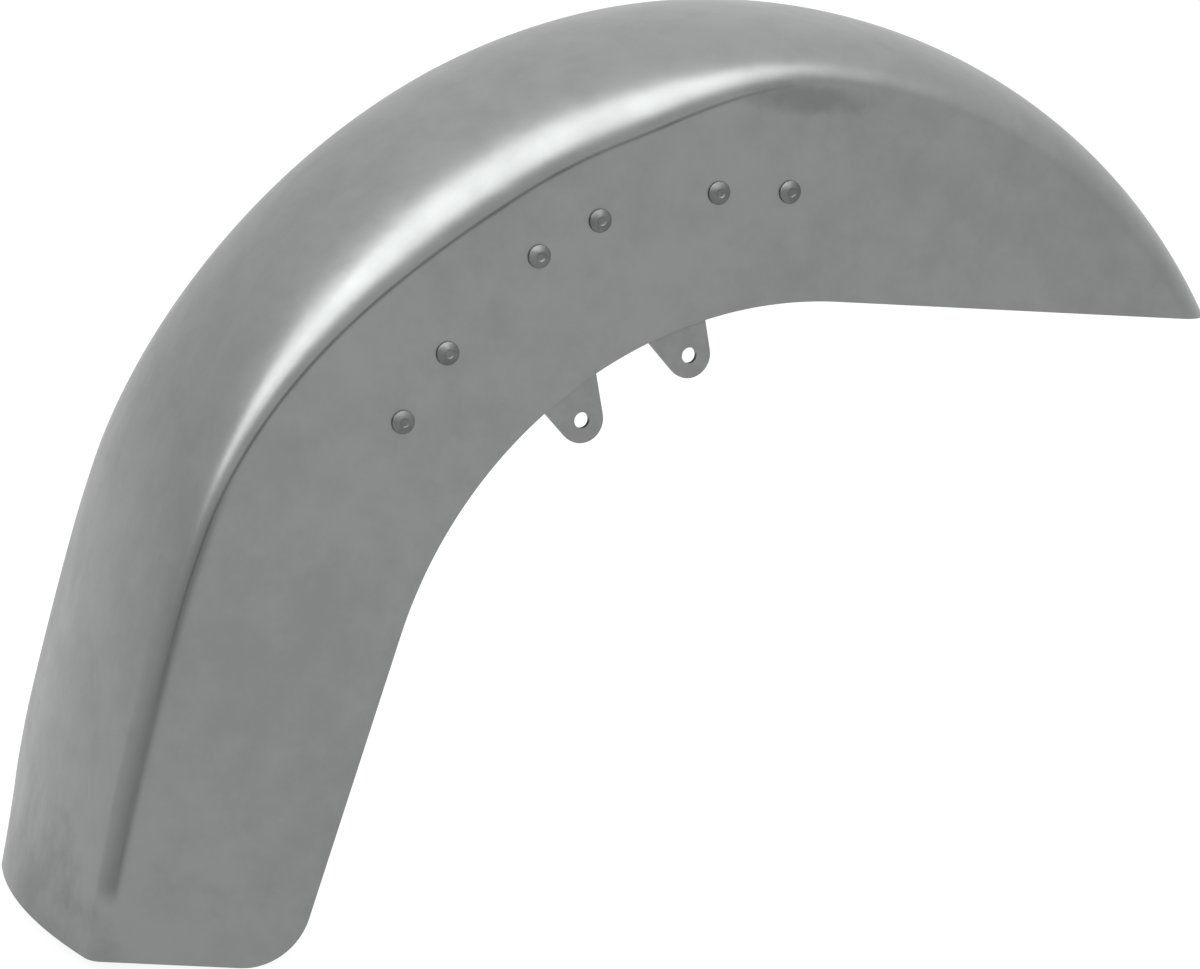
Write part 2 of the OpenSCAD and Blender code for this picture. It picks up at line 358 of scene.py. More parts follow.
    @staticmethod
    def _dark_patch_share(
        tree: bpy.types.NodeTree,
        place: bpy.types.NodeSocket,
        mottling: bpy.types.NodeSocket,
        dark_patch: DarkPatch,
        maths: Maths,
    ) -> bpy.types.NodeSocket:
        """A soft ellipsoid of darkness whose rim is frayed by the mottling.

        Args:
            tree: The node tree.
            place: Object coordinates.
            mottling: The fine noise that breaks up the rim.
            dark_patch: Where it lies and how deep it goes.
            maths: The two-number operation of the material.

        Returns:
            A share from 0 outside to 1 in the middle.
        """
        middle = Vector(dark_patch.centre) * MM
        half = Vector(dark_patch.radii) * MM
        local = add_node(
            tree,
            "ShaderNodeMapping",
            values={
                "Location": tuple(-middle[k] / half[k] for k in range(3)),
                "Scale": tuple(1.0 / half[k] for k in range(3)),
            },
            links={"Vector": place},
        )
        away = add_node(
            tree,
            "ShaderNodeVectorMath",
            {"operation": "LENGTH"},
            links={0: local.outputs[0]},
        )
        ragged = maths("ADD", away.outputs["Value"], maths("MULTIPLY", mottling, DARK_PATCH_FRAY))
        fade = add_node(
            tree,
            "ShaderNodeMapRange",
            {"interpolation_type": "SMOOTHSTEP"},
            {"From Min": DARK_PATCH_FADE[0], "From Max": DARK_PATCH_FADE[1], "To Min": 1.0, "To Max": 0.0},
            {"Value": ragged},
        )
        return fade.outputs[0]


# --------------------------------------------------------------------- meshes


def new_object(
    name: str, points: np.ndarray, faces: list[list[int]], sharp: float = 40.0
) -> bpy.types.Object:
    """Makes a mesh object at the origin and links it to the scene.

    Args:
        name: The piece's name.
        points: Vertices in metres, one row each.
        faces: Quads and triangles as lists of vertex numbers.
        sharp: Faces that meet at more than this angle, in degrees, keep a sharp edge.

    Returns:
        The object, shaded smooth elsewhere.
    """
    mesh = bpy.data.meshes.new(name)
    mesh.from_pydata(points.tolist(), [], faces)
    mesh.validate()
    mesh.polygons.foreach_set("use_smooth", np.ones(len(mesh.polygons), bool))
    mesh.set_sharp_from_angle(angle=math.radians(sharp))
    mesh.update()
    piece = bpy.data.objects.new(name, mesh)
    bpy.context.scene.collection.objects.link(piece)
    return piece


def grid_faces(rows: int, columns: int, start: int = 0) -> np.ndarray:
    """Quads over a grid of points numbered row by row.

    Args:
        rows: Number of rows of points.
        columns: Number of points in a row.
        start: Number of the first point.

    Returns:
        One quad a row, counter-clockwise seen with rows down and columns right.
    """
    i, c = np.mgrid[0 : rows - 1, 0 : columns - 1]
    first = (start + i * columns + c).ravel()
    return np.stack([first, first + columns, first + columns + 1, first + 1], axis=1)


# ------------------------------------------------------------------ the skin


@dataclass
class Crown:
    """The crown of the skin: its path over the wheel and its section across.

    Lengths in mm and angles in degrees, named as in the part's source. The bulge
    and the tail's camber are a little softer here than there, as the eye sees them.
    """

    crown_radius: float = 352.0
    skirt_half_width: float = 83.0
    tail_angle: float = 168.2
    tail_radius: float = 2300.0
    nose_depth: float = 35.0
    arch_depth: float = 51.8
    tail_depth: float = 18.0
    deepen_angles: tuple[float, float] = (88.0, 113.4)
    thin_angles: tuple[float, float] = (124.2, 177.0)
    bulge_out: float = 3.2
    bulge_rise: float = 6.0
    tuck_power: float = 2.0
    nose_rise: float = 1.2
    bulge_front_angles: tuple[float, float] = (86.0, 108.0)
    bulge_tail_gap: float = 38.0
    bulge_tail_fade: float = 22.0
    tail_bulge_share: float = 0.4
    tail_camber: float = 11.5
    camber_relief: float = 3.5
    relief_fade: float = 100.0
    tail_round: float = 7.0
    square_angles: tuple[float, float] = (160.0, 194.0)
    corner_share: float = 0.4
    nose_edge_height: float = 200.7
    tail_edge_height: float = -162.8
    tail_edge_setback: float = 364.0
    tail_edge_fall: float = 5.0

    def side_point(self, p: np.ndarray, r: np.ndarray) -> np.ndarray:
        """A point seen from the side.

        A circle about the wheel axis as far as tail_angle, and then a circle of
        tail_radius that carries on without a corner.

        Args:
            p: Path angle.
            r: Distance from the wheel axis, or what it would be on the tail.

        Returns:
            X and Z on the last axis.
        """
        p, r = np.broadcast_arrays(p, r)
        centre = (self.crown_radius - self.tail_radius) * unit(self.tail_angle)
        turn = self.tail_angle + (p - self.tail_angle) * self.crown_radius / self.tail_radius
        far = centre + (r + self.tail_radius - self.crown_radius)[..., None] * unit(turn)
        near = r[..., None] * unit(p)
        return np.where((p > self.tail_angle)[..., None], far, near)

    def nose_cut(self, r: np.ndarray) -> np.ndarray:
        """Path angle where a line at r meets the nose's level edge."""
        return np.degrees(np.arcsin(self.nose_edge_height / r))

    def tail_corner(self) -> np.ndarray:
        """The rear corner of the tail's lower edge."""
        return np.array([-self.tail_edge_setback, self.tail_edge_height])

    def tail_cut(self, r: np.ndarray) -> np.ndarray:
        """Path angle where a line at r meets the tail's lower edge."""
        centre = (self.crown_radius - self.tail_radius) * unit(self.tail_angle)
        height = float((self.tail_corner() - centre) @ unit(90.0 - self.tail_edge_fall))
        reach = r + self.tail_radius - self.crown_radius
        turn = 180.0 - self.tail_edge_fall - np.degrees(np.arcsin(height / reach))
        return self.tail_angle + (turn - self.tail_angle) * self.tail_radius / self.crown_radius

    def bulge_tail_angles(self) -> tuple[float, float]:
        """Path angles over which the bulge fades out above the tail's foot."""
        degree = self.crown_radius * math.pi / 180.0
        end = float(self.tail_cut(np.array(self.crown_radius))) - self.bulge_tail_gap / degree
        return end - self.bulge_tail_fade / degree, end

    def depth(self, p: np.ndarray) -> np.ndarray:
        """Height of the crown above its crease."""
        return (
            self.nose_depth
            + (self.arch_depth - self.nose_depth) * eased(p, self.deepen_angles)
            + (self.tail_depth - self.arch_depth) * eased(p, self.thin_angles)
        )

    def swell(self, p: np.ndarray) -> np.ndarray:
        """How much of the bulge there is, from 0 to 1."""
        return eased(p, self.bulge_front_angles) * (1.0 - eased(p, self.bulge_tail_angles()))

    def relief(self, p: np.ndarray) -> np.ndarray:
        """How much the bulge flattens the tail's face, eased out towards the foot."""
        degree = self.crown_radius * math.pi / 180.0
        end = float(self.tail_cut(np.array(self.crown_radius)))
        return 1.0 - eased(p, (end - self.relief_fade / degree, end))

    def section(self, p: np.ndarray, t: np.ndarray) -> np.ndarray:
        """The outer face across the crown.

        From the middle (t 0) to the shoulder (t 1) a quarter oval, eased down the
        tail into a cambered face with round corners; from the shoulder to the
        crease (t 2) a power of a cosine, which meets the skirt without a corner.

        Args:
            p: Path angle.
            t: Place across the section.

        Returns:
            Distance out from the middle and height above the crease.
        """
        p, t = np.broadcast_arrays(p, t)
        full = self.swell(p)
        square = eased(p, self.square_angles)
        # the bulge stands out less down the tail, where the valley is broad
        out = self.bulge_out * mix(1.0, self.tail_bulge_share, square)
        width = self.skirt_half_width + out * full
        depth = self.depth(p)
        rise = mix(self.nose_rise, self.bulge_rise, eased(p, self.bulge_front_angles))
        oval_drop = depth - rise
        camber = self.tail_camber - self.camber_relief * self.relief(p)
        face = (width**2 + camber**2) / (2.0 * camber)
        inner = width - self.tail_round
        face_drop = face - np.sqrt((face - self.tail_round) ** 2 - inner**2)
        drop = mix(oval_drop, face_drop, square)

        top = np.clip(t, 0.0, 1.0)
        oval = np.stack(
            [
                width * np.sin(np.pi / 2.0 * top),
                oval_drop * (1.0 - np.cos(np.pi / 2.0 * top)),
            ],
            axis=-1,
        )
        flat = 1.0 - self.corner_share
        turn = np.degrees(np.arctan2(inner, face - face_drop))
        along = np.radians(turn * top / flat)
        corner = mix(turn, 90.0, (top - flat) / self.corner_share)
        broad = np.stack([face * np.sin(along), face * (1.0 - np.cos(along))], axis=-1)
        round_off = np.stack(
            [
                inner + self.tail_round * np.sin(np.radians(corner)),
                face_drop - self.tail_round * np.cos(np.radians(corner)),
            ],
            axis=-1,
        )
        cambered = np.where((top < flat)[..., None], broad, round_off)
        upper = mix(oval, cambered, square[..., None])

        below = np.clip(t - 1.0, 0.0, 1.0)
        tuck = np.maximum(np.cos(np.pi / 2.0 * below), 0.0) ** self.tuck_power
        out = np.where(
            t <= 1.0,
            upper[..., 0],
            self.skirt_half_width + (width - self.skirt_half_width) * tuck,
        )
        high = np.where(t <= 1.0, depth - upper[..., 1], (depth - drop) * (2.0 - t))
        return np.stack([out, high], axis=-1)

    def section_normal(self, p: np.ndarray, t: np.ndarray) -> np.ndarray:
        """Outward unit normal of the section, from a central difference."""
        p, t = np.broadcast_arrays(p, t)
        step = 0.01
        run = self.section(p, t + step) - self.section(p, t - step)
        normal = np.stack([-run[..., 1], run[..., 0]], axis=-1)
        normal /= np.maximum(np.linalg.norm(normal, axis=-1, keepdims=True), 1e-9)
        normal = np.where((t <= 0.0)[..., None], np.array([0.0, 1.0]), normal)
        return np.where((t >= 2.0)[..., None], np.array([1.0, 0.0]), normal)

    def place(self, p: np.ndarray, t: np.ndarray, depth_in: float) -> np.ndarray:
        """A point of the half section as distance out and radius.

        Args:
            p: Path angle.
            t: Place across the section.
            depth_in: Depth below the outer face.

        Returns:
            Distance out from the middle and distance from the wheel axis.
        """
        point = self.section(p, t) - depth_in * self.section_normal(p, t)
        lift = self.crown_radius - self.depth(np.broadcast_to(p, point.shape[:-1]))
        return point + np.stack([np.zeros_like(lift), lift], axis=-1)


@dataclass
class SkirtEdge:
    """The lower outline of a skirt: level nose, wheel arch, tail and its corner."""

    crown: Crown
    arch_edge_radius: float = 241.8
    tail_front_lean: float = 12.9
    tail_front_setback: float = 217.7
    tail_corner_radius: float = 34.0

    def arch_centre(self) -> np.ndarray:
        """Centre of the wheel arch, touching the nose's edge and the tail's."""
        normal = unit(-self.tail_front_lean)
        high = self.crown.nose_edge_height - self.arch_edge_radius
        across = (self.arch_edge_radius - high * normal[1]) / normal[0]
        return np.array([across - self.tail_front_setback, high])

    def corner_centre(self) -> np.ndarray:
        """Centre of the tail's lower front corner, touching both its edges."""
        front = unit(-self.tail_front_lean)
        foot = unit(90.0 - self.crown.tail_edge_fall)
        from_front = -self.tail_corner_radius - self.tail_front_setback * front[0]
        from_foot = self.tail_corner_radius + float(self.crown.tail_corner() @ foot)
        return np.linalg.solve(np.array([front, foot]), np.array([from_front, from_foot]))

    def crease_cuts(self) -> tuple[np.ndarray, np.ndarray]:
        """Where the crease meets the nose's edge and the tail's lower edge."""
        crown = self.crown
        nose = np.array(crown.crown_radius - crown.nose_depth)
        tail = np.array(crown.crown_radius - crown.tail_depth)
        return (
            crown.side_point(crown.nose_cut(nose), nose),
            crown.side_point(crown.tail_cut(tail), tail),
        )

    def points(self, steps: tuple[int, int, int, int, int]) -> np.ndarray:
        """The outline from the nose to the foot.

        Straight along the nose, round the arch, down the tail's front edge, round
        the corner and back along the foot to the crease.

        Args:
            steps: Numbers of points over nose, arch, tail, corner and foot.

        Returns:
            X and Z of each point, one row each.
        """
        nose, arch, tail, corner, foot = steps
        first, last = self.crease_cuts()
        centre, corner_mid = self.arch_centre(), self.corner_centre()
        front = unit(-self.tail_front_lean)
        foot_normal = unit(90.0 - self.crown.tail_edge_fall)
        top = centre + np.array([0.0, self.arch_edge_radius])
        arch_foot = centre - self.arch_edge_radius * front
        corner_top = corner_mid + self.tail_corner_radius * front
        corner_foot = corner_mid - self.tail_corner_radius * foot_normal

        def share(count: int, of: int, start: int = 1) -> np.ndarray:
            """Fractions from start/of on, one row each."""
            return (np.arange(start, start + count) / of)[:, None]

        sweep = mix(90.0, 180.0 - self.tail_front_lean, share(arch + 1, arch, 0)[:, 0])
        round_corner = mix(
            -self.tail_front_lean,
            -90.0 - self.crown.tail_edge_fall,
            share(corner, corner)[:, 0],
        )
        return np.concatenate(
            [
                mix(first, top, share(nose, nose + 1)),
                centre + self.arch_edge_radius * unit(sweep),
                mix(arch_foot, corner_top, share(tail, tail)),
                corner_mid + self.tail_corner_radius * unit(round_corner),
                mix(corner_foot, last, share(foot, foot + 1)),
            ]
        )


@dataclass
class Place:
    """Turns lengths about the wheel axis into the frame's metres."""

    front_hole: np.ndarray

    def __call__(self, x: np.ndarray, y: np.ndarray, z: np.ndarray) -> np.ndarray:
        """Points in metres from X, Y and Z in mm about the wheel axis."""
        x, y, z = np.broadcast_arrays(x, y, z)
        return np.stack([x - self.front_hole[0], y, z - self.front_hole[1]], axis=-1) * MM


@dataclass
class Skin:
    """The pressed skin: crown and skirts in one sheet.

    Attributes:
        crown: The crown.
        edge: The skirts' lower outline.
        sheet: Thickness of the sheet.
        steps: Points along nose, arch, tail, corner and foot.
        arch_from: Path angle where the arch's points begin.
        arch_to: Path angle where they end.
        crown_strips: Strips from the middle to the shoulder.
        bulge_strips: Strips from the shoulder to the crease.
        skirt_strips: Strips from the crease to the skirt's edge.
        strip_crowding: Power that crowds those strips at the crease.
        valley_up: Where the valley's painted shade fades, mm towards the crown.
        valley_down: Where it fades, mm towards the skirt's edge.
        valley_angles: Path angles over which it sets in.
        valley_foot: Path degrees about the bulge's end over which it stops.
    """

    crown: Crown
    edge: SkirtEdge
    sheet: float = 1.6
    steps: tuple[int, int, int, int, int] = (36, 84, 44, 16, 8)
    arch_from: float = 80.0
    arch_to: float = 172.0
    crown_strips: int = 56
    bulge_strips: int = 14
    skirt_strips: int = 18
    strip_crowding: float = 2.5
    valley_up: tuple[float, float] = (1.5, 16.0)
    valley_down: tuple[float, float] = (-1.5, 3.5)
    valley_angles: tuple[float, float] = (160.0, 171.0)
    valley_foot: tuple[float, float] = (-0.8, 1.4)

    def _angles(self, t: np.ndarray, depth_in: float) -> np.ndarray:
        """Path angle of each point, rows along the path and columns across.

        The first and last rows lie in the planes of the two lower edges.

        Args:
            t: Places across the half section.
            depth_in: Depth below the outer face.

        Returns:
            A grid of path angles.
        """
        nose, arch, tail, corner, foot = self.steps
        crown = self.crown
        start = crown.nose_cut(np.array(crown.crown_radius))
        end = crown.tail_cut(np.array(crown.crown_radius))
        first = crown.nose_cut(crown.place(start, t, depth_in)[..., 1])
        last = crown.tail_cut(crown.place(end, t, depth_in)[..., 1])
        tail_to = crown.bulge_tail_angles()[0]

        def run(a: np.ndarray, b: np.ndarray, count: int, closed: bool = False) -> np.ndarray:
            """Even steps from a towards b, with b itself only where closed."""
            share = np.arange(count + closed)[:, None] / count
            return mix(np.broadcast_to(a, t.shape), np.broadcast_to(b, t.shape), share)

        return np.concatenate(
            [
                run(first, np.array(self.arch_from), nose),
                run(np.array(self.arch_from), np.array(self.arch_to), arch),
                run(np.array(self.arch_to), np.array(tail_to), tail),
                run(np.array(tail_to), last, corner + foot, closed=True),
            ]
        )

    def _half(self, depth_in: float) -> np.ndarray:
        """One half of a face of the sheet, on the positive side.

        Args:
            depth_in: Depth below the outer face.

        Returns:
            Rows along the path, columns from the middle to the skirt's edge, and
            X, Y and Z in mm about the wheel axis.
        """
        t = np.concatenate(
            [
                np.linspace(0.0, 1.0, self.crown_strips + 1),
                np.linspace(1.0, 2.0, self.bulge_strips + 1)[1:],
            ]
        )
        p = self._angles(t, depth_in)
        section = self.crown.place(p, t[None, :], depth_in)
        side = self.crown.side_point(p, section[..., 1])
        upper = np.stack([side[..., 0], section[..., 0], side[..., 1]], axis=-1)
        edge = self.edge.points(self.steps)
        foot = np.stack(
            [edge[:, 0], np.full(len(edge), self.crown.skirt_half_width - depth_in), edge[:, 1]],
            axis=-1,
        )
        # the first strips are narrow, so that the edge of the valley's painted shade on the skirt
        # is fine
        share = np.linspace(0.0, 1.0, self.skirt_strips + 1)[1:, None] ** self.strip_crowding
        skirt = mix(upper[:, -1:, :], foot[:, None, :], share[None, ...])
        return np.concatenate([upper, skirt], axis=1)

    def _valley(self, half: np.ndarray) -> np.ndarray:
        """How much painted shade each point of half a face gets in the valley along the crease.

        The distance along the section from the crease is eased from 1 to 0 over
        valley_up towards the crown and over valley_down towards the skirt's edge;
        along the path it is full on the tail, nothing on the arch, and stops where
        the bulge ends above the foot.

        Args:
            half: Rows along the path, columns from the middle to the skirt's edge.

        Returns:
            A number from 0 to 1 for each point.
        """
        crease = self.crown_strips + self.bulge_strips
        run = np.linalg.norm(np.diff(half, axis=1), axis=-1)
        along = np.concatenate([np.zeros((len(half), 1)), np.cumsum(run, axis=1)], axis=1)
        away = along - along[:, crease : crease + 1]
        up = 1.0 - eased(-away, self.valley_up)
        down = 1.0 - eased(away, self.valley_down)
        p = self._angles(np.array([2.0]), 0.0)
        end = self.crown.bulge_tail_angles()[1]
        stop = 1.0 - eased(p, (end + self.valley_foot[0], end + self.valley_foot[1]))
        return np.where(away < 0.0, up, down) * eased(p, self.valley_angles) * stop

    def build(self, place: Place) -> bpy.types.Object:
        """Builds the closed sheet.

        Outer and inner grids run from skirt edge to skirt edge over the crown, and
        a strip of quads closes them all the way round.

        Args:
            place: Turns mm about the wheel axis into the frame's metres.

        Returns:
            The skin as one object.
        """
        layers, valley = [], []
        for depth_in in (0.0, self.sheet):
            half = self._half(depth_in)
            mirrored = half[:, :0:-1, :] * np.array([1.0, -1.0, 1.0])
            whole = np.concatenate([mirrored, half], axis=1)
            layers.append(whole)
            # painted shade in the valley along the crease, on the outer face only
            painted_shade = self._valley(half) * (depth_in == 0.0)
            valley.append(np.concatenate([painted_shade[:, :0:-1], painted_shade], axis=1).ravel())
        rows, columns = layers[0].shape[:2]
        points = np.concatenate([layer.reshape(-1, 3) for layer in layers])
        count = rows * columns
        outer = grid_faces(rows, columns)
        inner = grid_faces(rows, columns, count)[:, ::-1]
        number = np.arange(count).reshape(rows, columns)
        rim = np.concatenate(
            [number[:-1, 0], number[-1, :-1], number[:0:-1, -1], number[0, :0:-1]]
        )
        after = np.roll(rim, -1)
        strip = np.stack([rim, rim + count, after + count, after], axis=1)
        faces = np.concatenate([outer, inner, strip])
        metres = place(points[:, 0], points[:, 1], points[:, 2])
        piece = new_object("pressed_skin", metres, faces.tolist())
        # the share of painted shade in the valley, read by the skin's material
        layer = piece.data.attributes.new("valley", "FLOAT", "POINT")
        layer.data.foreach_set("value", np.concatenate(valley).astype(np.float32))
        return piece


# ------------------------------------------------------- brackets and rivets


@dataclass
class Bracket:
    """The plate riveted inside a skirt, with its two tabs."""

    edge: SkirtEdge
    bracket_angle: float = 122.2
    hole_drop: float = 19.7
    hole_pitch: float = 69.8
    middle_drop: float = 31.7
    middle_pitch: float = 38.5
    end_drop: float = 30.5
    end_offset: float = 105.0
    end_pitch: float = 42.5
    end_slope: float = 28.3

    def from_bracket(self, q: np.ndarray) -> np.ndarray:
        """X and Z from a place along and across the bracket's middle line."""
        return q[..., :1] * unit(self.bracket_angle) + q[..., 1:] * unit(self.bracket_angle + 90.0)

    def arch_reach(self) -> float:
        """Distance from the wheel axis to the arch's edge on the middle line."""
        centre = self.edge.arch_centre()
        along = float(centre @ unit(self.bracket_angle))
        return along + math.sqrt(along**2 - float(centre @ centre) + self.edge.arch_edge_radius**2)

    def front_hole(self) -> np.ndarray:
        """X and Z of the front tab hole."""
        across = -self.hole_pitch / 2
        return self.from_bracket(np.array([self.arch_reach() - self.hole_drop, across]))

    def rivet_spots(self) -> np.ndarray:
        """X and Z of the six rivets, from front to rear."""
        crease = self.edge.crown.crown_radius - self.edge.crown.arch_depth
        middle = np.array([crease - self.middle_drop, self.middle_pitch / 2])
        end = np.array([middle[0] - self.end_drop, self.end_offset])
        step = self.end_pitch / 2 * unit(90.0 + self.end_slope)
        rear = np.array([middle, end - step, end + step])
        return self.from_bracket(np.concatenate([rear[::-1] * np.array([1.0, -1.0]), rear]))


@dataclass
class Rivet:
    """A solid rivet: domed outer head with a set flat, shank and upset head.

    Its profile, radius against height above the skirt, is turned about its axis.

    Attributes:
        sheet: Thickness of the skin.
        plate: Thickness of the bracket.
        shank: Diameter of the shank.
        head: Diameter of the outer head.
        head_height: Its height.
        head_wall: Height of the short wall at its rim.
        wall_round: How far the wall's top edge is rounded inwards.
        foot_round: How far its bottom edge is.
        flat: Diameter of the flat that the setting tool left.
        flat_sink: How deep the flat lies.
        flat_lip: Width of the lip round it.
        upset: Diameter of the inner head.
        upset_height: Its height.
        upset_fullness: Power of the cosine that gives its outline; 1 is an oval.
        turns: Steps round the axis.
        arc_points: Points along each arc.
    """

    sheet: float = 1.6
    plate: float = 2.5
    shank: float = 6.4
    head: float = 12.6
    head_height: float = 2.5
    head_wall: float = 1.1
    wall_round: float = 0.18
    foot_round: float = 0.12
    flat: float = 5.0
    flat_sink: float = 0.3
    flat_lip: float = 0.35
    upset: float = 10.0
    upset_height: float = 1.8
    upset_fullness: float = 0.6
    turns: int = 64
    arc_points: int = 12

    def profile(self) -> np.ndarray:
        """The half section from the outer pole to the inner one.

        The dome is a circular arc from the flat's rim to the top of the short wall,
        the foot's edge is a small quarter round, and the upset head is a low oval.

        Returns:
            Radius and height in mm, one row each, poles left out.
        """
        half, rim = self.head / 2, self.flat / 2
        turn = np.linspace(0.0, 1.0, self.arc_points)
        # sagitta form: height falls with the square of the radius beyond the flat
        radius = mix(rim + self.flat_lip, half - self.wall_round, turn)
        fall = (radius**2 - rim**2) / (half**2 - rim**2)
        dome = np.stack([radius, mix(self.head_height, self.head_wall, fall)], axis=1)
        flat = np.array(
            [
                [0.55 * rim, self.head_height - self.flat_sink],
                [0.92 * rim, self.head_height - self.flat_sink],
                [rim + 0.08, self.head_height],
            ]
        )
        wall = np.array(
            [[half - 0.03, self.head_wall - 0.14], [half, 0.22], [half - self.foot_round, 0.0]]
        )
        grip = self.sheet + self.plate
        shaft = np.array([[self.shank / 2, 0.0], [self.shank / 2, -grip]])
        low = np.linspace(0.0, np.pi / 2, self.arc_points)[:-1]
        upset = np.stack(
            [
                self.upset / 2 * np.cos(low) ** self.upset_fullness,
                -grip - self.upset_height * np.sin(low),
            ],
            axis=1,
        )
        return np.concatenate([flat, dome, wall, shaft, upset])

    def build(
        self, name: str, spot: np.ndarray, side: Side, skirt: float, place: Place
    ) -> bpy.types.Object:
        """Turns the profile about an axis across the fender.

        Args:
            name: The piece's name.
            spot: X and Z of its axis, mm about the wheel axis.
            side: Which skirt it sits in.
            skirt: Half width across the skirts' outer faces.
            place: Turns mm about the wheel axis into the frame's metres.

        Returns:
            The rivet as one closed object.
        """
        line = self.profile()
        around = np.linspace(0.0, 2.0 * np.pi, self.turns, endpoint=False) * side.value
        x = spot[0] + line[:, :1] * np.cos(around)[None, :]
        z = spot[1] + line[:, :1] * np.sin(around)[None, :]
        y = side.value * (skirt + line[:, 1:]) + 0.0 * x
        poles = np.array([line[0, 1], line[-1, 1] - 0.02])
        pole_points = place(spot[0], side.value * (skirt + poles), spot[1])
        ring = place(x.ravel(), y.ravel(), z.ravel())
        rows, turns = len(line), self.turns
        points = np.concatenate([ring, pole_points])
        number = np.arange(rows * turns).reshape(rows, turns)
        after = np.roll(number, -1, axis=1)
        corners = (number[:-1], number[1:], after[1:], after[:-1])
        sides = np.stack([corner.ravel() for corner in corners], axis=1)
        top, low = rows * turns, rows * turns + 1
        caps = np.concatenate(
            [
                np.stack([np.full(turns, top), number[0], after[0]], axis=1),
                np.stack([number[-1], np.full(turns, low), after[-1]], axis=1),
            ]
        )
        return new_object(name, points, sides.tolist() + caps.tolist(), sharp=50.0)


# ------------------------------------------------------------------ the studio


@dataclass
class Softbox:
    """A square soft light that looks at the fender.

    Attributes:
        name: Its name.
        azimuth: Degrees about Z from +X.
        elevation: Degrees above the floor.
        distance: Distance from the fender's middle, m.
        size: Width and height, m.
        radiance: Brightness of its face, where 1 is white.
    """

    name: str
    azimuth: float
    elevation: float
    distance: float
    size: tuple[float, float]
    radiance: float

    def build(self, target: Vector) -> bpy.types.Object:
        """Adds the light.

        Args:
            target: The point it looks at.

        Returns:
            The light.
        """
        lamp = bpy.data.lights.new(self.name, "AREA")
        lamp.shape = "RECTANGLE"
        lamp.size, lamp.size_y = self.size
        lamp.energy = self.radiance * math.pi * self.size[0] * self.size[1]
        level = math.radians(self.elevation)
        turn = math.radians(self.azimuth)
        aim = Vector(
            (math.cos(level) * math.cos(turn), math.cos(level) * math.sin(turn), math.sin(level))
        )
        holder = bpy.data.objects.new(self.name, lamp)
        holder.location = target + aim * self.distance
        holder.rotation_euler = aim.to_track_quat("Z", "Y").to_euler()
        bpy.context.scene.collection.objects.link(holder)
        return holder


